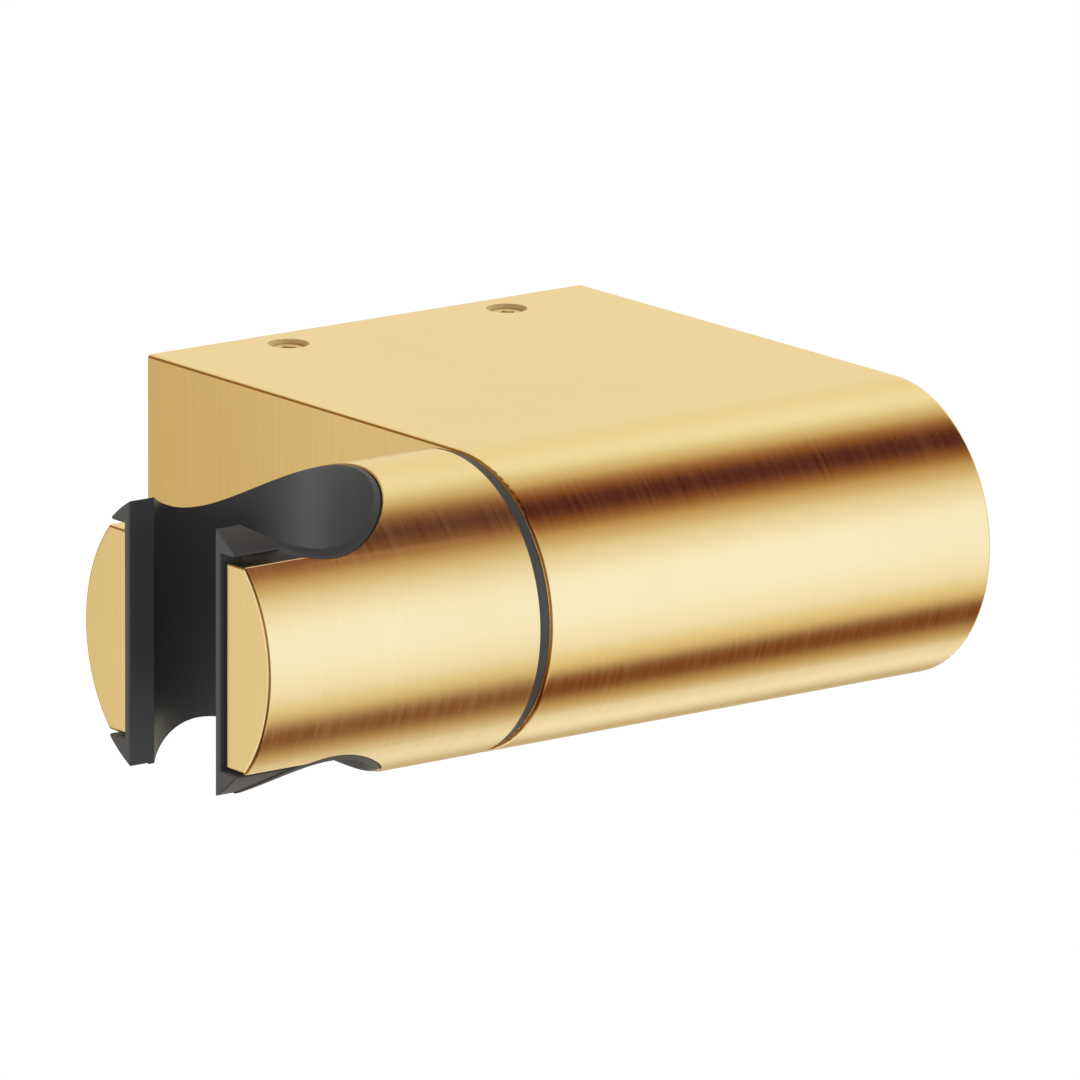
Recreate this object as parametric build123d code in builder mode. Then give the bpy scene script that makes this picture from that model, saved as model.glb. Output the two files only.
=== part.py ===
from build123d import *
import os

# Wall-mounted hand shower holder: a D-shaped body with a round swivel head on its left end.
# Millimetres. The origin is the middle of the body's wall face: +Y goes into the wall, +Z is up,
# and X runs along the wall, with the swivel head towards -X.

os.makedirs("parts", exist_ok=True)

# Body, as seen from outside
body_length = 63.8  # along the wall
body_height = 35.0  # between the flats, and the diameter of the round front and of the head
projection = 77.0  # from the wall to the front of the round
end_round = 0.5  # rounded edge of the body's two ends
jaw_round = 0.4  # rounded edges of the jaws
edge_bevel = 0.3  # on other edges of turned pieces

# Body casting
wall = 2.5  # top, bottom and front
end_wall = 2.5  # right end
pivot_wall = 4.0  # left end, which carries the head
corner_bevel = 1.5  # inside, where the end walls meet the skin
boss_radius = 8.0  # threaded boss for the pivot screw
boss_length = 5.0
rib_thickness = 2.0  # ribs that brace the boss
rib_height = 3.5

# Wall plate, a folded channel behind the body
sheet = 2.0
plate_end_gap = 0.5  # at each end, beyond the bevels inside the body
flange_depth = 12.0
flange_corner = 2.0
bend_radius = 1.0  # inside the folds
plate_top_gap = 3.7  # from the body's inner top down to the upper flange
wall_slot_spacing = 38.0
wall_slot_length = 8.0
wall_slot_width = 4.5

# Set screws, M4, through the top of the body onto the plate's upper flange
set_screw_spacing = 32.0
set_screw_from_wall = 4.9
set_screw_radius = 2.0
set_screw_length = 6.0
set_screw_socket = 2.0  # across flats
set_screw_socket_depth = 2.2
set_screw_point = 0.4  # bevel around the tip
set_boss_radius = 4.0
set_boss_depth = 1.8
tip_seat_depth = 0.3  # dimple in the flange
countersink = 0.4

# Swivel head
disc_thickness = 1.2  # the dark disc between body and head
disc_inset = 0.35  # below the outer surface
bore_to_end = 12.1  # from the axis of the upright bore to the gold end
bore_radius = 12.3  # inside the liner
liner_wall = 0.9
slot_width = 16.3  # way in for the hose
cheek_gap = 0.2  # between the liner's cheeks and the jaws
ledge_depth = 5.65  # how far inside the round the jaws are cut off, above and below
upper_wing_gap = 0.95  # between the upper ledges and the moulding's wings
lower_wing_gap = 0.15
insert_lift = 0.1  # how far the liner's round sits above the middle
insert_inset = 0.15  # liner's round below the head's
lining_lift = 0.2  # the same for the jaw linings with their wings
lining_inset = 0.2
insert_proud = 0.6  # moulding's end beyond the gold end
rim_bevel = 0.3  # around the liner's ends
wing_corner = 0.2  # rounded outer corners of the wings
moulding_edge = 0.15  # bevel around the moulding's left ends
bore_bevel = 0.15  # around the bore of the gold shell

# Pivot, from the housing's left face outwards
shoulder_radius = 4.0
thread_radius = 3.0
bush_wall = 1.0
bush_flange = 0.8
web_floor = 4.2  # metal left in the head behind the springs
stack_radius = 8.0  # bush flange, thrust washer and springs
stack_gap = 0.3  # around them, in the head's pocket
washer_thickness = 0.8
spring_count = 4
spring_sheet = 0.4
spring_pitch = 0.7
screw_head_radius = 6.5
screw_head_height = 3.6
screw_socket = 5.0  # across flats
screw_socket_depth = 2.2
screw_head_clear = 0.5  # to the back of the liner
ring_groove_radius = 11.0  # mean radius of the brake ring
ring_section = 1.7  # square
pip_radius = 1.5
pip_length = 1.0
pip_offset = 13.0
lock_washer_thickness = 1.5
lock_washer_radius = 5.6
lock_washer_cut = 0.8
lock_washer_slant = 20.0  # degrees, of the cut
nut_across_flats = 10.0
nut_height = 4.4
nut_collar_height = 1.6
nut_collar_radius = 4.5
nut_collar_wall = 0.7
thread_end = 1.0  # screw thread beyond the nut

# Fits
fit_gap = 0.05  # radial, for shafts, screws and the liner
pocket_gap = 0.1  # radial, for the pips and the brake ring
ring_gap = 0.05  # between the brake ring and the flat faces beside it

# Places that follow from the sizes above
body_radius = body_height / 2
axis_y = -(projection - body_radius)
body_left = -body_length / 2
body_right = body_length / 2
cavity_left = body_left + pivot_wall
cavity_right = body_right - end_wall
cavity_half = body_radius - wall
plate_x = (cavity_left + cavity_right) / 2
plate_top = cavity_half - plate_top_gap
boss_end = cavity_left + boss_length
shell_right = body_left - disc_thickness
pocket_floor = shell_right - web_floor
washer_left = pocket_floor - bush_flange - washer_thickness
springs_left = washer_left - spring_count * spring_pitch
screw_left = springs_left - screw_head_height
liner_radius = bore_radius + liner_wall
bore_x = screw_left - screw_head_clear - liner_radius
shell_left = bore_x - bore_to_end
insert_left = shell_left - insert_proud
insert_radius = body_radius - insert_inset
ledge_height = body_radius - ledge_depth
wing_middle = (upper_wing_gap - lower_wing_gap) / 2
wing_spread = 2 * ledge_height + upper_wing_gap + lower_wing_gap
cheek_half = slot_width / 2 + liner_wall
ring_groove_depth = ring_section + 2 * ring_gap

pivot_axis = Axis((body_left, axis_y, 0), (1, 0, 0))


def across(x):
    """Plane square to the pivot axis at x, centred on the axis: local x along +Y, local y up."""
    return Plane(origin=(x, axis_y, 0), x_dir=(0, 1, 0), z_dir=(1, 0, 0))


def along(x):
    """Plane that holds the pivot axis: local x runs from x towards +X, local y is the radius."""
    return Plane(origin=(x, axis_y, 0), x_dir=(1, 0, 0), z_dir=(0, 0, 1))


# Housing: one casting with a half-round front, open at the back. A boss with three ribs takes
# the pivot screw, and two small bosses under the flat top take the set screws.
with BuildPart() as housing:
    with BuildSketch(Plane.YZ.offset(body_left)):
        with Locations((axis_y / 2, 0)):
            Rectangle(-axis_y, body_height)
        with Locations((axis_y, 0)):
            Circle(body_radius)
    extrude(amount=body_length)
    for end in housing.faces().filter_by(Axis.X):
        fillet(end.edges().sort_by(Axis.Y)[:-1], end_round)
    with BuildSketch(Plane.YZ.offset(cavity_left)):
        with Locations((axis_y / 2, 0)):
            Rectangle(-axis_y, 2 * cavity_half)
        with Locations((axis_y, 0)):
            Circle(cavity_half)
    extrude(amount=cavity_right - cavity_left, mode=Mode.SUBTRACT)
    inner_ends = housing.faces().filter_by(Axis.X).sort_by(Axis.X)[1:-1]
    chamfer(inner_ends.edges().sort_by(Axis.Y)[:-2], corner_bevel)
    with BuildSketch(across(cavity_left)):
        Circle(boss_radius)
        Rectangle(rib_thickness, 2 * cavity_half)
        with Locations((-cavity_half / 2, 0)):
            Rectangle(cavity_half, rib_thickness)
    extrude(amount=rib_height)
    with BuildSketch(across(cavity_left)):
        Circle(boss_radius)
    extrude(amount=boss_length)
    with BuildSketch(across(body_left)):
        Circle(thread_radius + fit_gap)
    extrude(amount=pivot_wall + boss_length, mode=Mode.SUBTRACT)
    with BuildSketch(across(body_left)):
        with GridLocations(0, 2 * pip_offset, 1, 2):
            Circle(pip_radius + pocket_gap)
    extrude(amount=pip_length + pocket_gap, mode=Mode.SUBTRACT)
    set_screw_places = [
        (plate_x + side * set_screw_spacing / 2, -set_screw_from_wall) for side in (-1, 1)
    ]
    with BuildSketch(Plane.XY.offset(cavity_half - set_boss_depth)):
        with Locations(*set_screw_places):
            Circle(set_boss_radius)
    extrude(amount=set_boss_depth)
    with Locations(*[(x, y, body_radius) for x, y in set_screw_places]):
        CounterSinkHole(
            set_screw_radius + fit_gap,
            set_screw_radius + fit_gap + countersink,
            depth=wall + set_boss_depth,
            counter_sink_angle=90,
        )
housing.part.label = "housing"
export_step(housing.part, "parts/housing.step")

# Wall plate: folded steel channel. Its web is slotted for the wall screws, its lower flange
# carries the body's inner bottom face, and its upper flange has a dimple for each set screw.
with BuildPart() as wall_plate:
    plate_length = cavity_right - cavity_left - 2 * (corner_bevel + plate_end_gap)
    plate_middle = (plate_top - cavity_half) / 2
    plate_height = plate_top + cavity_half
    with BuildSketch(Plane.YZ.offset(plate_x - plate_length / 2)) as section:
        with Locations((-flange_depth / 2, plate_middle)):
            Rectangle(flange_depth, plate_height)
        fillet(section.vertices().group_by(Axis.X)[-1], bend_radius + sheet)
        with BuildSketch(mode=Mode.SUBTRACT) as hollow:
            with Locations((-(flange_depth + sheet) / 2, plate_middle)):
                Rectangle(flange_depth - sheet, plate_height - 2 * sheet)
            fillet(hollow.vertices().group_by(Axis.X)[-1], bend_radius)
    extrude(amount=plate_length)
    with BuildSketch(Plane.XZ) as slots:
        with Locations(*[(plate_x + side * wall_slot_spacing / 2, 0) for side in (-1, 1)]):
            SlotOverall(wall_slot_length, wall_slot_width)
    extrude(amount=sheet, mode=Mode.SUBTRACT)
    with BuildSketch(Plane.XY.offset(plate_top)):
        with Locations(*set_screw_places):
            Circle(set_screw_radius + fit_gap)
    extrude(amount=-tip_seat_depth, mode=Mode.SUBTRACT)
    fillet(wall_plate.edges().filter_by(Axis.Z).group_by(Axis.Y)[0], flange_corner)
wall_plate.part.label = "wall_plate"
export_step(wall_plate.part, "parts/wall_plate.step")

# Set screws: socket screws without a head, sunk in the flat top, with their tips in the dimples.
tip_z = plate_top - tip_seat_depth
for side, (x, y) in zip(("left", "right"), set_screw_places):
    with BuildPart() as set_screw:
        with BuildSketch(Plane.XY.offset(tip_z)):
            with Locations((x, y)):
                Circle(set_screw_radius)
        extrude(amount=set_screw_length)
        chamfer(set_screw.edges().group_by(Axis.Z)[0], set_screw_point)
        with BuildSketch(Plane.XY.offset(tip_z + set_screw_length)):
            with Locations((x, y)):
                RegularPolygon(set_screw_socket / 2, 6, major_radius=False)
        extrude(amount=-set_screw_socket_depth, mode=Mode.SUBTRACT)
    set_screw.part.label = f"set_screw_{side}"
    export_step(set_screw.part, f"parts/set_screw_{side}.step")

# Friction disc: the dark line between body and head. Two pips key it to the housing.
with BuildPart() as friction_disc:
    with BuildSketch(across(shell_right)):
        Circle(body_radius - disc_inset)
        Circle(shoulder_radius + fit_gap, mode=Mode.SUBTRACT)
    extrude(amount=disc_thickness)
    with BuildSketch(across(body_left)):
        with GridLocations(0, 2 * pip_offset, 1, 2):
            Circle(pip_radius)
    extrude(amount=pip_length)
friction_disc.part.label = "friction_disc"
export_step(friction_disc.part, "parts/friction_disc.step")

# Pivot screw: its head lies in the swivel head's web, its shoulder ends on the housing's left
# face, and its thread goes through the boss to the lock nut.
nut_start = boss_end + lock_washer_thickness
with BuildPart() as pivot_screw:
    thread_stop = nut_start + nut_height + nut_collar_height + thread_end
    with BuildSketch(along(0)):
        with BuildLine():
            Polyline(
                (screw_left, 0),
                (screw_left, screw_head_radius - edge_bevel),
                (screw_left + edge_bevel, screw_head_radius),
                (springs_left, screw_head_radius),
                (springs_left, shoulder_radius),
                (body_left, shoulder_radius),
                (body_left, thread_radius),
                (thread_stop - thread_end / 2, thread_radius),
                (thread_stop, thread_radius - thread_end / 2),
                (thread_stop, 0),
                close=True,
            )
        make_face()
    revolve(axis=pivot_axis)
    with BuildSketch(across(screw_left)):
        RegularPolygon(screw_socket / 2, 6, major_radius=False)
    extrude(amount=screw_socket_depth, mode=Mode.SUBTRACT)
pivot_screw.part.label = "pivot_screw"
export_step(pivot_screw.part, "parts/pivot_screw.step")

# Pivot bush: flanged plastic sleeve in the head's web.
with BuildPart() as pivot_bush:
    with BuildSketch(across(pocket_floor - bush_flange)):
        Circle(stack_radius)
    extrude(amount=bush_flange)
    with BuildSketch(across(pocket_floor)):
        Circle(shoulder_radius + fit_gap + bush_wall)
    extrude(amount=web_floor)
    with BuildSketch(across(pocket_floor - bush_flange)):
        Circle(shoulder_radius + fit_gap)
    extrude(amount=bush_flange + web_floor, mode=Mode.SUBTRACT)
pivot_bush.part.label = "pivot_bush"
export_step(pivot_bush.part, "parts/pivot_bush.step")

# Thrust washer: hard face between the bush's flange and the springs.
with BuildPart() as thrust_washer:
    with BuildSketch(across(washer_left)):
        Circle(stack_radius)
        Circle(shoulder_radius + fit_gap, mode=Mode.SUBTRACT)
    extrude(amount=washer_thickness)
thrust_washer.part.label = "thrust_washer"
export_step(thrust_washer.part, "parts/thrust_washer.step")

# Disc springs: shallow cones, each turned the other way round from the one beside it.
spring_bore = shoulder_radius + fit_gap
for number in range(spring_count):
    cone_rise = spring_pitch - spring_sheet
    outer_rise, inner_rise = (cone_rise, 0) if number % 2 else (0, cone_rise)
    start = washer_left - (number + 1) * spring_pitch
    with BuildPart() as disc_spring:
        with BuildSketch(along(start)):
            with BuildLine():
                Polyline(
                    (inner_rise, spring_bore),
                    (outer_rise, stack_radius),
                    (outer_rise + spring_sheet, stack_radius),
                    (inner_rise + spring_sheet, spring_bore),
                    close=True,
                )
            make_face()
        revolve(axis=pivot_axis)
    disc_spring.part.label = f"disc_spring_{number + 1}"
    export_step(disc_spring.part, f"parts/disc_spring_{number + 1}.step")

# Brake ring: rubber ring of square section in a groove of the head, against the friction disc.
with BuildPart() as brake_ring:
    with BuildSketch(across(shell_right - ring_gap - ring_section)):
        Circle(ring_groove_radius + ring_section / 2)
        Circle(ring_groove_radius - ring_section / 2, mode=Mode.SUBTRACT)
    extrude(amount=ring_section)
brake_ring.part.label = "brake_ring"
export_step(brake_ring.part, "parts/brake_ring.step")

# Lock washer: spring washer with its cut.
with BuildPart() as lock_washer:
    with BuildSketch(across(boss_end)):
        Circle(lock_washer_radius)
        Circle(thread_radius + fit_gap, mode=Mode.SUBTRACT)
        with Locations((lock_washer_radius / 2, 0)):
            Rectangle(
                lock_washer_radius, lock_washer_cut, rotation=lock_washer_slant, mode=Mode.SUBTRACT
            )
    extrude(amount=lock_washer_thickness)
lock_washer.part.label = "lock_washer"
export_step(lock_washer.part, "parts/lock_washer.step")

# Lock nut: hexagon with a round collar that holds the nylon ring.
insert_outer = nut_collar_radius - nut_collar_wall
with BuildPart() as lock_nut:
    with BuildSketch(across(nut_start)):
        RegularPolygon(nut_across_flats / 2, 6, major_radius=False)
    extrude(amount=nut_height)
    with BuildSketch(across(nut_start + nut_height)):
        Circle(nut_collar_radius)
    extrude(amount=nut_collar_height)
    with BuildSketch(across(nut_start)):
        Circle(thread_radius + fit_gap)
    extrude(amount=nut_height, mode=Mode.SUBTRACT)
    with BuildSketch(across(nut_start + nut_height)):
        Circle(insert_outer)
    extrude(amount=nut_collar_height, mode=Mode.SUBTRACT)
lock_nut.part.label = "lock_nut"
export_step(lock_nut.part, "parts/lock_nut.step")

# Nut insert: nylon ring that grips the thread.
with BuildPart() as nut_insert:
    with BuildSketch(across(nut_start + nut_height)):
        Circle(insert_outer)
        Circle(thread_radius + fit_gap, mode=Mode.SUBTRACT)
    extrude(amount=nut_collar_height)
nut_insert.part.label = "nut_insert"
export_step(nut_insert.part, "parts/nut_insert.step")

# Head shell: turned bar with an upright bore, open to the left between two jaws. Above and below,
# the jaws are cut off flat, which leaves the ledges that the liner's wings reach over.
with BuildPart() as head_shell:
    with BuildSketch(across(shell_left)):
        Circle(body_radius)
    extrude(amount=shell_right - shell_left)
    throat_half = cheek_half + cheek_gap
    with BuildSketch(across(shell_left)):
        Rectangle(2 * throat_half, body_height)
        with GridLocations(0, body_height + 2 * ledge_height, 1, 2):
            Rectangle(body_height, body_height)
    extrude(amount=bore_to_end, mode=Mode.SUBTRACT)
    jaw_ends = head_shell.faces().filter_by(Axis.X).group_by(Axis.X)[0]
    ledge_edges = head_shell.edges().filter_by(Axis.X).filter_by(
        lambda e: throat_half + jaw_round < abs(e.center().Y - axis_y) < body_radius - jaw_round
    )
    right_edge = head_shell.edges().filter_by(GeomType.CIRCLE).sort_by(Axis.X)[-1]
    chamfer(right_edge, edge_bevel)
    fillet(jaw_ends.edges() + ledge_edges, jaw_round)
    with BuildSketch(Plane.XY.offset(-body_radius)):
        with Locations((bore_x, axis_y)):
            Circle(liner_radius + fit_gap)
    extrude(amount=body_height, mode=Mode.SUBTRACT)
    rims = head_shell.edges().filter_by(GeomType.BSPLINE).sort_by(SortBy.LENGTH)[-2:]
    chamfer(rims, bore_bevel)
    with BuildSketch(across(pocket_floor)):
        Circle(stack_radius + stack_gap)
    extrude(amount=bore_x - pocket_floor, mode=Mode.SUBTRACT)
    with BuildSketch(across(pocket_floor)):
        Circle(shoulder_radius + fit_gap + bush_wall)
    extrude(amount=web_floor, mode=Mode.SUBTRACT)
    with BuildSketch(across(shell_right)):
        Circle(ring_groove_radius + ring_section / 2 + pocket_gap)
        Circle(ring_groove_radius - ring_section / 2 - pocket_gap, mode=Mode.SUBTRACT)
    extrude(amount=-ring_groove_depth, mode=Mode.SUBTRACT)
head_shell.part.label = "head_shell"
export_step(head_shell.part, "parts/head_shell.step")

# Cradle insert: the moulding that the shower handle sits in. A liner whose ends follow the head's
# round, two cheeks along the slot, and a thin wing over and under each jaw.
with BuildPart() as cradle_insert:
    with BuildSketch(Plane.XY.offset(-body_height)):
        with Locations((bore_x, axis_y)):
            Circle(liner_radius)
    extrude(amount=2 * body_height)
    with BuildSketch(across(insert_left)):
        with Locations((0, insert_lift)):
            Circle(insert_radius)
    extrude(amount=bore_x - insert_left + body_radius, mode=Mode.INTERSECT)
    chamfer(cradle_insert.edges().filter_by(GeomType.BSPLINE), rim_bevel)
    with BuildPart() as jaw_linings:
        with BuildSketch(across(insert_left)) as lining:
            with Locations((0, lining_lift)):
                Circle(body_radius - lining_inset)
            Rectangle(slot_width, 2 * body_height, mode=Mode.SUBTRACT)
            for side in (-1, 1):
                with Locations((side * (cheek_half + body_height / 2), wing_middle)):
                    Rectangle(body_height, wing_spread, mode=Mode.SUBTRACT)
            wing_tips = [v for v in lining.vertices() if abs(v.X) > cheek_half + wing_corner]
            fillet(wing_tips, wing_corner)
        extrude(amount=bore_x - insert_left)
        left_ends = jaw_linings.faces().filter_by(Axis.X).group_by(Axis.X)[0]
        chamfer(left_ends.edges(), moulding_edge)
    with BuildSketch(Plane.XY.offset(-body_height)):
        with Locations((bore_x, axis_y)):
            Circle(bore_radius)
        with Locations(((insert_left + bore_x) / 2, axis_y)):
            Rectangle(bore_x - insert_left, slot_width)
    extrude(amount=2 * body_height, mode=Mode.SUBTRACT)
cradle_insert.part.label = "cradle_insert"
export_step(cradle_insert.part, "parts/cradle_insert.step")
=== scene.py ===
import math

import bpy
import numpy as np
from mathutils import Matrix, Vector


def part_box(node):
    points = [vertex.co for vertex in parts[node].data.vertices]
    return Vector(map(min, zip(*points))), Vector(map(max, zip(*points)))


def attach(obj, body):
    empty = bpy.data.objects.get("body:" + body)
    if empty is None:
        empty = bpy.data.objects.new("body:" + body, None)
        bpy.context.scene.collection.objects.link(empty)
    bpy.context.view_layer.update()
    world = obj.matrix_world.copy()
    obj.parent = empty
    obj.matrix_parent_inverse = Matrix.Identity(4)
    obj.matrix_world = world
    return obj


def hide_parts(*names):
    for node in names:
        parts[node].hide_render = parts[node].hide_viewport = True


# Hand shower holder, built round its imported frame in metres: the body hangs on a wall plate and
# carries a swivel head. Each section below is one piece, in the order in which they are fitted.
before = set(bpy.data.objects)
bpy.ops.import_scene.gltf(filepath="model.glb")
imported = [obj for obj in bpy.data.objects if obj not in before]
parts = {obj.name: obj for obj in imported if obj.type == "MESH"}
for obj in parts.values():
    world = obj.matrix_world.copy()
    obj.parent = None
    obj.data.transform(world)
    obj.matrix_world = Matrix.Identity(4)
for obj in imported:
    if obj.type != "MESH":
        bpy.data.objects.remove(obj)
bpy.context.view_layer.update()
mm = 0.001


# Wall plate: zinc-plated steel sheet folded to a channel and screwed to the wall through slots.
# The plating is dull and bluish grey, with faint clouds and the lines of the rolled sheet.
def new_finish(name, colour, metallic, roughness):
    """A material with one Principled surface, and the socket of the piece's own coordinates."""
    finish = bpy.data.materials.new(name)
    finish.use_nodes = True
    surface = finish.node_tree.nodes["Principled BSDF"]
    surface.inputs["Base Color"].default_value = (*colour, 1)
    surface.inputs["Metallic"].default_value = metallic
    surface.inputs["Roughness"].default_value = roughness
    place = finish.node_tree.nodes.new("ShaderNodeTexCoord").outputs["Object"]
    return finish, surface, place


def feed(finish, socket, value):
    """The input takes another node's output, a number, a vector, or a colour of three numbers."""
    if isinstance(value, bpy.types.NodeSocket):
        finish.node_tree.links.new(value, socket)
    elif socket.type == "RGBA":
        socket.default_value = (*value, 1)
    else:
        socket.default_value = value


def grain(finish, place, per_metre, detail=2.0, rough=0.5):
    """Noise from 0 to 1, stretched by the three numbers of per_metre, which say how often it
    changes along X, Y and Z."""
    mapping = finish.node_tree.nodes.new("ShaderNodeMapping")
    feed(finish, mapping.inputs["Vector"], place)
    feed(finish, mapping.inputs["Scale"], per_metre)
    noise = finish.node_tree.nodes.new("ShaderNodeTexNoise")
    feed(finish, noise.inputs["Vector"], mapping.outputs["Vector"])
    feed(finish, noise.inputs["Scale"], 1.0)
    feed(finish, noise.inputs["Detail"], detail)
    feed(finish, noise.inputs["Roughness"], rough)
    return noise.outputs["Fac"]


def between(finish, factor, low, high, start=0.0, end=1.0):
    """The factor's start to end spread over low to high."""
    spread = finish.node_tree.nodes.new("ShaderNodeMapRange")
    feed(finish, spread.inputs["Value"], factor)
    feed(finish, spread.inputs["From Min"], start)
    feed(finish, spread.inputs["From Max"], end)
    feed(finish, spread.inputs["To Min"], low)
    feed(finish, spread.inputs["To Max"], high)
    return spread.outputs["Result"]


def blended(finish, factor, first, second, kind="RGBA", way="MIX"):
    """From first to second with the factor: colours, or numbers where kind is FLOAT."""
    mix = finish.node_tree.nodes.new("ShaderNodeMix")
    mix.data_type = kind
    mix.blend_type = way
    feed(finish, mix.inputs["Factor"], factor)
    feed(finish, mix.inputs["A"], first)
    feed(finish, mix.inputs["B"], second)
    return mix.outputs["Result"]


def mottled(finish, surface, factor, colours, roughness):
    """Colour and roughness change together with the factor, each from its first to its last."""
    feed(finish, surface.inputs["Base Color"], blended(finish, factor, *colours))
    feed(finish, surface.inputs["Roughness"], between(finish, factor, *roughness))


def raised(finish, surface, height, depth, strength):
    """Relief of the given depth in metres, from a height of 0 to 1."""
    bump = finish.node_tree.nodes.new("ShaderNodeBump")
    feed(finish, bump.inputs["Strength"], strength)
    feed(finish, bump.inputs["Distance"], depth)
    feed(finish, bump.inputs["Height"], height)
    feed(finish, surface.inputs["Normal"], bump.outputs["Normal"])


def zinc_plating(name):
    """Zinc on rolled sheet: cloudy grey, with fine lines along the sheet."""
    finish, surface, place = new_finish(name, (0.62, 0.63, 0.65), 1.0, 0.34)
    clouds = grain(finish, place, (90, 90, 90), 3.0)
    lines = grain(finish, place, (60, 2500, 2500))
    greys = (0.50, 0.52, 0.55), (0.72, 0.72, 0.71)
    mottled(finish, surface, clouds, greys, (0.26, 0.44))
    raised(finish, surface, lines, 0.01 * mm, 0.5)
    return finish


def dress(node, finish):
    """The CAD node takes the finish in every one of its material slots."""
    for slot in parts[node].material_slots:
        slot.material = finish


zinc = zinc_plating("zinc_plating")
dress("wall_plate", zinc)


# Housing: brass casting, open at the back, ground fine and coated in gold. The grinding runs
# round its front and up and down its ends, and doesn't reach into the two screw holes.
gold = (0.90, 0.735, 0.425)
gold_deep = (0.86, 0.68, 0.37)
# The pale gold below is painted light for the insides of the screw holes, against their shade.
gold_matt_painted_light = (0.98, 0.88, 0.60)
across_lines, along_lines = 1800, 30
line_gloss = 0.09


def split(finish, vector):
    """The X, Y and Z of a vector."""
    node = finish.node_tree.nodes.new("ShaderNodeSeparateXYZ")
    feed(finish, node.inputs["Vector"], vector)
    return node.outputs


def worked_out(finish, operation, first, second=0.0):
    """The result of one step of arithmetic."""
    step = finish.node_tree.nodes.new("ShaderNodeMath")
    step.operation = operation
    feed(finish, step.inputs[0], first)
    feed(finish, step.inputs[1], second)
    return step.outputs["Value"]


def brushed_gold(name, roughness, line_depth):
    """Gold coating over fine grinding: lines that change along X on round and flats, and along Y
    on end faces, where the normal's X is over 0.9. The lines differ in gloss and height."""
    finish, surface, place = new_finish(name, gold, 1.0, roughness)
    normal = finish.node_tree.nodes.new("ShaderNodeTexCoord").outputs["Normal"]
    endways = worked_out(finish, "ABSOLUTE", split(finish, normal)["X"])
    on_end = worked_out(finish, "GREATER_THAN", endways, 0.9)
    around = grain(finish, place, (across_lines, along_lines, along_lines), 4.0, 0.7)
    up_and_down = grain(finish, place, (along_lines, across_lines, along_lines), 4.0, 0.7)
    lines = blended(finish, on_end, around, up_and_down, "FLOAT")
    clouds = grain(finish, place, (45, 45, 45))
    gloss = between(finish, lines, roughness - line_gloss, roughness + line_gloss)
    feed(finish, surface.inputs["Base Color"], blended(finish, clouds, gold_deep, gold))
    feed(finish, surface.inputs["Roughness"], gloss)
    raised(finish, surface, lines, line_depth, 0.6)
    return finish


def matt_and_painted_light_in_holes(finish, middle, mouth, reach, colour, roughness):
    """A duller coat wherever the point (|x - middle|, y, z) lies within reach of the
    right-hand hole's mouth, and so in both holes. Its paler colour is painted light, which lifts
    the holes out of their shade."""
    nodes = finish.node_tree.nodes
    place = split(finish, nodes.new("ShaderNodeTexCoord").outputs["Object"])
    from_middle = worked_out(finish, "SUBTRACT", place["X"], middle)
    folded = nodes.new("ShaderNodeCombineXYZ")
    feed(finish, folded.inputs["X"], worked_out(finish, "ABSOLUTE", from_middle))
    feed(finish, folded.inputs["Y"], place["Y"])
    feed(finish, folded.inputs["Z"], place["Z"])
    distance = nodes.new("ShaderNodeVectorMath")
    distance.operation = "DISTANCE"
    feed(finish, distance.inputs[0], folded.outputs["Vector"])
    feed(finish, distance.inputs[1], mouth)
    in_hole = worked_out(finish, "LESS_THAN", distance.outputs["Value"], reach)
    surface = nodes["Principled BSDF"].inputs
    for name, inside, kind in (("Base Color", colour, "RGBA"), ("Roughness", roughness, "FLOAT")):
        ground = surface[name].links[0].from_socket
        feed(finish, surface[name], blended(finish, in_hole, ground, inside, kind))


def middle_of(node):
    """The middle of a CAD node's box."""
    low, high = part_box(node)
    return (low + high) / 2


body_gold = brushed_gold("body_gold", 0.20, 0.02 * mm)
left_hole, right_hole = middle_of("set_screw_left"), middle_of("set_screw_right")
hole_middle = (left_hole[0] + right_hole[0]) / 2
hole_mouth = (right_hole[0] - hole_middle, right_hole[1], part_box("housing")[1][2])
hole_reach = 2.46 * mm
# Inside the screw holes the coat is duller, and its paler colour is painted light against their
# shade.
matt_and_painted_light_in_holes(body_gold, hole_middle, hole_mouth, hole_reach, gold_matt_painted_light, 0.9)
dress("housing", body_gold)


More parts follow.
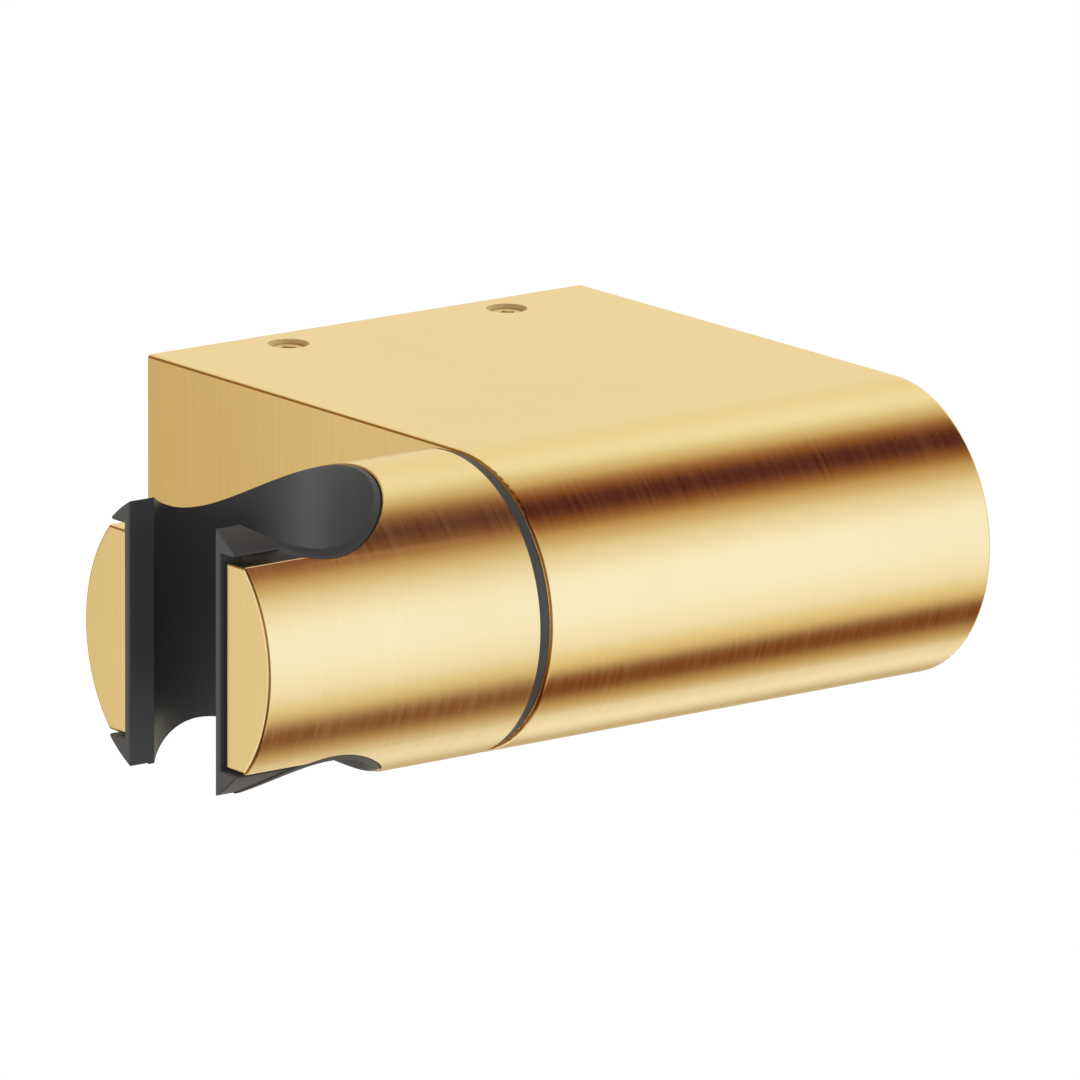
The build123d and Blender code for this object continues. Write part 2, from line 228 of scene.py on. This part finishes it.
# Set screws: short gold-coated screws without a head, sunk in the two holes of the flat top. A
# hexagon key turns them until their points sit in the plate's dimples.
def screw_surface(rows, foot, direction, thread):
    """Closed surface of a screw. Row i is a ring at height rows[i][0] along the direction, of
    radius rows[i][1], or a hexagon with that inner radius where rows[i][2] is true. Within the
    thread's start to end, the radius is less by its depth times a triangle wave of (height /
    pitch - angle / full turn), which fades in over one pitch and out over less than half."""
    steps_around = 96
    angle = np.linspace(0, 2 * np.pi, steps_around, endpoint=False)
    height, radius, hexagon = (np.array(column)[:, None] for column in zip(*rows))
    flats = 1 / np.cos((angle + np.pi / 6) % (np.pi / 3) - np.pi / 6)
    radius = np.where(hexagon, radius * flats, radius)
    start, end, pitch, depth, outer = thread
    phase = (height / pitch - angle / (2 * np.pi)) % 1
    groove = depth * (1 - np.abs(2 * phase - 1))
    fade_in, fade_out = (height - start) / pitch, (end - height) / (0.4 * pitch)
    fade = np.clip(fade_in, 0, 1) * np.clip(fade_out, 0, 1)
    on_thread = (height >= start) & (height <= end) & ~hexagon
    radius = np.where(on_thread, np.minimum(radius, outer - groove * fade), radius)

    direction = Vector(direction).normalized()
    side = direction.orthogonal().normalized()
    direction, side, up = (np.array(v) for v in (direction, side, direction.cross(side)))
    spokes = np.cos(angle)[:, None] * side + np.sin(angle)[:, None] * up
    axis_points = np.array(foot) + height * direction
    points = axis_points[:, None, :] + radius[..., None] * spokes
    vertices = np.concatenate([points.reshape(-1, 3), axis_points[[0, -1]]])

    around = np.arange(steps_around)
    following = (around + 1) % steps_around
    below = np.arange(len(rows) - 1)[:, None] * steps_around
    above = below + steps_around
    corners = (below + around, below + following, above + following, above + around)
    quads = np.stack(corners, -1).reshape(-1, 4)
    pole = np.full_like(around, len(rows) * steps_around)
    last_row = around + above[-1]
    first_cap = np.stack([pole, following, around], -1)
    last_cap = np.stack([pole + 1, last_row, last_row[following]], -1)
    return vertices, quads.tolist() + first_cap.tolist() + last_cap.tolist()


def piece_of(name, vertices, faces):
    """A new object at the origin, smooth but for the edges where its faces turn by more than
    sharp_turn."""
    sharp_turn = math.radians(35)
    mesh = bpy.data.meshes.new(name)
    mesh.from_pydata(vertices.tolist(), [], faces)
    mesh.validate()
    mesh.shade_smooth()
    mesh.set_sharp_from_angle(angle=sharp_turn)
    piece = bpy.data.objects.new(name, mesh)
    bpy.context.scene.collection.objects.link(piece)
    return piece


screw_gold = brushed_gold("screw_gold", 0.50, 0.001 * mm)
point_radius, point_edge, point_height = 0.9 * mm, 1.6 * mm, 0.4 * mm
top_edge, pitch, groove_depth = 0.25 * mm, 0.7 * mm, 0.4 * mm
key_radius, key_depth = 1.0 * mm, 2.2 * mm
for side in ("left", "right"):
    low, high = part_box(f"set_screw_{side}")
    middle = middle_of(f"set_screw_{side}")
    length = high[2] - low[2]
    radius = (high[0] - low[0]) / 2
    shank = np.linspace(point_height, length - top_edge, 64)
    rows = [(0, point_radius, False), (0.1 * mm, point_edge, False)]
    rows += [(height, radius, False) for height in shank]
    rows += [
        (length, radius - top_edge, False),
        (length, key_radius + 0.3 * mm, False),
        (length - 0.12 * mm, key_radius + 0.02 * mm, True),
        (length - key_depth, key_radius, True),
        (length - key_depth - 0.4 * mm, 0.1 * mm, True),
    ]
    thread = (0.2 * mm, length - 0.1 * mm, pitch, groove_depth, radius)
    vertices, faces = screw_surface(rows, (middle[0], middle[1], low[2]), (0, 0, 1), thread)
    screw = piece_of(f"grub_screw_{side}", vertices, faces)
    screw.data.materials.append(screw_gold)
    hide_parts(f"set_screw_{side}")
    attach(screw, "wall_body")


# Friction disc: dark grey plastic, pinched between housing and head. It shows as a thin line
# round the joint, and two pips keep it from turning with the head.
def moulded_plastic(name, colour, roughness):
    """Satin moulding: fine sparked texture and slight changes of tone and gloss."""
    finish, surface, place = new_finish(name, colour, 0.0, roughness)
    sparked = grain(finish, place, (5200, 5200, 5200))
    patches = grain(finish, place, (110, 110, 110), 3.0)
    lighter = tuple(1.18 * share for share in colour)
    gloss = roughness - 0.05, roughness + 0.05
    mottled(finish, surface, patches, (colour, lighter), gloss)
    surface.inputs["Specular IOR Level"].default_value = 0.35
    raised(finish, surface, sparked, 0.006 * mm, 0.5)
    return finish


disc_plastic = moulded_plastic("disc_plastic", (0.045, 0.046, 0.048), 0.42)
dress("friction_disc", disc_plastic)


# Head shell: brass bar, turned and bored, ground and coated as the housing is, with a slightly
# softer shine.
head_gold = brushed_gold("head_gold", 0.25, 0.015 * mm)
dress("head_shell", head_gold)


# Pivot: a flanged acetal bush in the head's web, a steel thrust washer, four hardened disc
# springs, and a rubber ring that rubs on the friction disc. A spring washer and a nut with a
# nylon ring lock the screw inside the housing.
def turned_steel(name, colour, roughness):
    """Steel from the lathe: fine uneven marks, and oil-dark spots."""
    finish, surface, place = new_finish(name, colour, 1.0, roughness)
    marks = grain(finish, place, (2200, 2200, 2200))
    spots = grain(finish, place, (260, 260, 260), 4.0)
    darker = tuple(0.6 * share for share in colour)
    gloss = roughness - 0.08, roughness + 0.12
    mottled(finish, surface, spots, (darker, colour), gloss)
    raised(finish, surface, marks, 0.004 * mm, 0.5)
    return finish


def acetal(name):
    """Natural acetal: off-white, slightly waxy, with soft turning marks."""
    finish, surface, place = new_finish(name, (0.80, 0.79, 0.74), 0.0, 0.38)
    marks = grain(finish, place, (900, 900, 900))
    creams = (0.76, 0.75, 0.69), (0.84, 0.83, 0.79)
    mottled(finish, surface, marks, creams, (0.32, 0.46))
    surface.inputs["Subsurface Weight"].default_value = 0.08
    surface.inputs["Subsurface Radius"].default_value = (1.0 * mm, 1.0 * mm, 0.8 * mm)
    raised(finish, surface, marks, 0.006 * mm, 0.4)
    return finish


def moulded_rubber(name):
    """Black rubber: dull, with a fine powdery tone."""
    finish, surface, place = new_finish(name, (0.022, 0.022, 0.023), 0.0, 0.72)
    dust = grain(finish, place, (700, 700, 700), 4.0)
    blacks = (0.018, 0.018, 0.019), (0.034, 0.034, 0.035)
    mottled(finish, surface, dust, blacks, (0.62, 0.82))
    raised(finish, surface, dust, 0.01 * mm, 0.5)
    return finish


bush_acetal = acetal("bush_acetal")
for node in ("pivot_bush", "nut_insert"):
    dress(node, bush_acetal)
spring_steel = turned_steel("spring_steel", (0.40, 0.40, 0.43), 0.38)
for node in ("disc_spring_1", "disc_spring_2", "disc_spring_3", "disc_spring_4", "lock_washer"):
    dress(node, spring_steel)
dress("brake_ring", moulded_rubber("brake_rubber"))
for node in ("thrust_washer", "lock_nut"):
    dress(node, zinc)


# Pivot screw: shoulder screw of turned steel. Its head is sunk in the swivel head behind the
# lining, and its thread ends just past the lock nut inside the housing.
screw_steel = turned_steel("screw_steel", (0.52, 0.50, 0.47), 0.32)
low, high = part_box("pivot_screw")
middle = middle_of("pivot_screw")
length = high[0] - low[0]
head_radius, head_height, head_edge = (high[1] - low[1]) / 2, 3.6 * mm, 0.3 * mm
shoulder_radius, thread_radius = 4.0 * mm, 3.0 * mm
shoulder_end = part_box("housing")[0][0] - low[0]
key_radius, key_depth = 2.5 * mm, 2.2 * mm
pitch, groove_depth = 1.0 * mm, 0.55 * mm
rows = [
    (key_depth + 0.8 * mm, 0.1 * mm, True),
    (key_depth, key_radius, True),
    (0.15 * mm, key_radius + 0.02 * mm, True),
    (0, key_radius + 0.6 * mm, False),
    (0, head_radius - head_edge, False),
    (head_edge, head_radius, False),
    (head_height, head_radius, False),
    (head_height, shoulder_radius, False),
    (shoulder_end, shoulder_radius, False),
    (shoulder_end, thread_radius, False),
]
shank = np.linspace(shoulder_end + 0.05 * mm, length - 0.5 * mm, 150)
rows += [(height, thread_radius, False) for height in shank]
rows += [(length, thread_radius - 0.5 * mm, False)]
thread = (shoulder_end + 0.5 * mm, length, pitch, groove_depth, thread_radius)
vertices, faces = screw_surface(rows, (low[0], middle[1], middle[2]), (1, 0, 0), thread)
shoulder_screw = piece_of("shoulder_screw", vertices, faces)
shoulder_screw.data.materials.append(screw_steel)
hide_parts("pivot_screw")
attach(shoulder_screw, "wall_body")


# Cradle insert: the dark grey moulding in the head that the shower handle sits in. It is pressed
# into the bore from above and hooks over the jaws with thin wings.
insert_plastic = moulded_plastic("insert_plastic", (0.027, 0.0275, 0.029), 0.42)
dress("cradle_insert", insert_plastic)


# Floor: a pale sheet well below the holder, which hangs in the air as it does on a wall. The
# camera sees it lifted to white, with the holder's shadow left on it.
def board(name, corners, finish):
    """A flat sheet between four corners."""
    mesh = bpy.data.meshes.new(name)
    mesh.from_pydata(corners, [], [(0, 1, 2, 3)])
    mesh.materials.append(finish)
    sheet = bpy.data.objects.new(name, mesh)
    bpy.context.scene.collection.objects.link(sheet)
    return sheet


floor_drop, floor_reach = 0.30, 30.0
floor_corners = [
    (-floor_reach, -floor_reach, -floor_drop),
    (floor_reach, -floor_reach, -floor_drop),
    (floor_reach, floor_reach, -floor_drop),
    (-floor_reach, floor_reach, -floor_drop),
]
floor_lift = 0.27
floor_white, floor_surface = new_finish("floor_white", (0.92, 0.92, 0.92), 0.0, 0.9)[:2]
floor_ray = floor_white.node_tree.nodes.new("ShaderNodeLightPath").outputs["Is Camera Ray"]
floor_glow = worked_out(floor_white, "MULTIPLY", floor_ray, floor_lift)
floor_surface.inputs["Specular IOR Level"].default_value = 0.0
floor_surface.inputs["Emission Color"].default_value = (1, 1, 1, 1)
feed(floor_white, floor_surface.inputs["Emission Strength"], floor_glow)
floor = board("floor", floor_corners, floor_white)
floor.visible_glossy = False


# Room light: an even white dome. Polished metal sees it as long soft panels that run with the
# holder, one in front and one behind, with warm dusk between them.
def ramp(finish, factor, stops):
    """Colour that goes softly from stop to stop, each a place from 0 to 1 and a colour."""
    node = finish.node_tree.nodes.new("ShaderNodeValToRGB")
    colours = node.color_ramp
    colours.interpolation = "EASE"
    while len(colours.elements) > 1:
        colours.elements.remove(colours.elements[-1])
    colours.elements[0].position = stops[0][0]
    colours.elements[0].color = (*stops[0][1], 1)
    for position, colour in stops[1:]:
        colours.elements.new(position).color = (*colour, 1)
    feed(finish, node.inputs["Fac"], factor)
    return node.outputs["Color"]


room = bpy.data.worlds.new("room")
bpy.context.scene.world = room
room.use_nodes = True
room_nodes = room.node_tree.nodes
room_nodes.clear()
towards = split(room, room_nodes.new("ShaderNodeTexCoord").outputs["Generated"])

# How the panels look from the holder, by the angle in degrees above straight ahead.
panel_white = (1.09, 1.18, 1.34)
panel_pale = (0.96, 0.92, 0.80)
panel_warm = (0.94, 0.845, 0.60)
wall_pale = (0.90, 0.88, 0.83)
dusk_warm = (0.31, 0.10, 0.018)
dusk_deep = (0.06, 0.0, 0.008)
floor_pale = (0.90, 0.76, 0.45)
floor_dusk = (0.19, 0.05, 0.012)
around_the_holder = [
    (-180, wall_pale), (-165, wall_pale), (-141, (0.56, 0.43, 0.21)), (-113, (1.04, 1.02, 0.92)),
    (-100, panel_pale), (-86, (0.60, 0.43, 0.19)), (-72, floor_dusk), (-61, floor_dusk),
    (-47, floor_pale), (-30, (1.04, 1.06, 1.05)), (-8, panel_white), (16, panel_white),
    (34, panel_pale), (50, (0.66, 0.49, 0.22)), (60, dusk_warm), (70, dusk_deep),
    (80, dusk_deep), (90, dusk_warm), (102, (0.75, 0.62, 0.33)), (118, (1.02, 1.01, 0.86)),
    (148, panel_warm), (173, panel_warm), (180, wall_pale),
]
forward = worked_out(room, "MULTIPLY", towards["Y"], -1)
turn = worked_out(room, "ARCTAN2", towards["Z"], forward)
share = between(room, turn, 0.0, 1.0, -math.pi, math.pi)
panel_stops = [((angle + 180) / 360, colour) for angle, colour in around_the_holder]
panels = ramp(room, share, panel_stops)

# To the left the panels end in dusk. Straight to either side the bands would meet in a point, so
# a pale panel stands there.
white, black = (1, 1, 1), (0, 0, 0)
left_dusk = (0.30, 0.15, 0.05)
side_panel = (0.92, 0.86, 0.68)
along = between(room, towards["X"], 0.0, 1.0, -1, 1)
end_on = ramp(room, along, [(0.0, left_dusk), (0.36, left_dusk), (0.54, white), (1.0, white)])
beside = ramp(room, along, [(0.008, white), (0.035, black), (0.88, black), (0.95, white)])
panels = blended(room, 1.0, panels, end_on, way="MULTIPLY")
panels = blended(room, beside, panels, side_panel)


def backdrop(colour):
    """The room's light in one colour."""
    node = room_nodes.new("ShaderNodeBackground")
    feed(room, node.inputs["Color"], colour)
    return node.outputs["Background"]


def chosen(ray, otherwise, then):
    """One light for the given kind of ray, and another for the rest."""
    mix = room_nodes.new("ShaderNodeMixShader")
    feed(room, mix.inputs["Fac"], rays[ray])
    feed(room, mix.inputs[1], otherwise)
    feed(room, mix.inputs[2], then)
    return mix.outputs["Shader"]


rays = room_nodes.new("ShaderNodeLightPath").outputs
light = chosen("Is Glossy Ray", backdrop((0.80, 0.80, 0.80)), backdrop(panels))
light = chosen("Is Camera Ray", light, backdrop(white))
feed(room, room_nodes.new("ShaderNodeOutputWorld").inputs["Surface"], light)


# Card: a cream reflector on the left that only polished metal sees. It fades from bright at its
# near end to warm at its far end and gives the flat ends their even tone.
card_x = -0.30
card_near, card_far, card_low, card_high = -0.03, 0.60, -0.25, 0.06
card_corners = [
    (card_x, card_near, card_low),
    (card_x, card_far, card_low),
    (card_x, card_far, card_high),
    (card_x, card_near, card_high),
]
card_stops = [
    (0.0, (0.92, 0.86, 0.68)), (0.06, (1.10, 1.12, 1.10)), (0.22, (1.02, 1.02, 0.90)),
    (0.42, (0.87, 0.80, 0.59)), (0.54, (0.83, 0.71, 0.56)), (0.575, (0.74, 0.61, 0.39)),
    (0.60, (0.66, 0.52, 0.28)), (1.0, (0.45, 0.33, 0.15)),
]
card_cream = bpy.data.materials.new("left_card")
card_cream.use_nodes = True
card_nodes = card_cream.node_tree.nodes
card_nodes.clear()
depth = split(card_cream, card_nodes.new("ShaderNodeTexCoord").outputs["Object"])["Y"]
fade = ramp(card_cream, between(card_cream, depth, 0.0, 1.0, card_near, card_far), card_stops)
glow = card_nodes.new("ShaderNodeEmission")
feed(card_cream, glow.inputs["Color"], fade)
card_end = card_nodes.new("ShaderNodeOutputMaterial")
feed(card_cream, card_end.inputs["Surface"], glow.outputs["Emission"])
card = board("left_card", card_corners, card_cream)
card.visible_camera = False
card.visible_diffuse = False
card.visible_shadow = False
card.visible_transmission = False


# Lamps: a big soft box to the left and in front, and a narrow window further left that lights
# only the dark plastic and gives it its form.
def soft_box(name, place, aim, size, watts):
    """Area lamp at place that faces aim."""
    lamp = bpy.data.lights.new(name, "AREA")
    lamp.shape = "RECTANGLE"
    lamp.size, lamp.size_y = size
    lamp.energy = watts
    box = bpy.data.objects.new(name, lamp)
    box.location = place
    box.rotation_euler = (Vector(aim) - Vector(place)).to_track_quat("-Z", "Y").to_euler()
    bpy.context.scene.collection.objects.link(box)
    return box


key = soft_box("key", (-0.9, -0.7, 0.5), (-0.02, -0.04, 0), (0.7, 0.7), 4.0)
key.visible_glossy = False
window = soft_box("window", (-1.05, -0.15, 0.24), (-0.05, -0.06, 0), (0.17, 0.30), 11.0)
dark_pieces = bpy.data.collections.new("dark_pieces")
for node in ("cradle_insert", "friction_disc"):
    dark_pieces.objects.link(parts[node])
window.light_linking.receiver_collection = dark_pieces


# Camera: a very long lens, turned a third of the way to the left and a little above, as in the
# photograph. Its place is worked out in units of the head's radius from the body's left end.
head_unit = 17.5 * mm
left_end = Vector((-31.9 * mm, 0, 0))
yaw, pitch, roll = 0.6551, 0.23672, 0.00579
across, above, back = 2.60549179, -0.25735631, 93.0977
level = Vector((math.sin(yaw), math.cos(yaw), 0))
ahead = math.cos(pitch) * level - math.sin(pitch) * Vector((0, 0, 1))
right = Vector((math.cos(yaw), -math.sin(yaw), 0))
upward = right.cross(ahead)
camera_right = math.cos(roll) * right + math.sin(roll) * upward
camera_up = -math.sin(roll) * right + math.cos(roll) * upward
eye = (camera_right * across + camera_up * above - ahead * back) * head_unit + left_end
picture_side = 1080
focal_length = 14005.87
lens = bpy.data.cameras.new("camera")
lens.sensor_fit = "HORIZONTAL"
lens.sensor_width = 36.0
lens.lens = focal_length / picture_side * lens.sensor_width
lens.clip_start = 0.01
lens.clip_end = 100.0
camera = bpy.data.objects.new("camera", lens)
turned = Matrix((camera_right, camera_up, -ahead)).transposed()
camera.matrix_world = Matrix.Translation(eye) @ turned.to_4x4()
bpy.context.scene.collection.objects.link(camera)
bpy.context.scene.camera = camera
bpy.context.scene.view_settings.view_transform = "Standard"
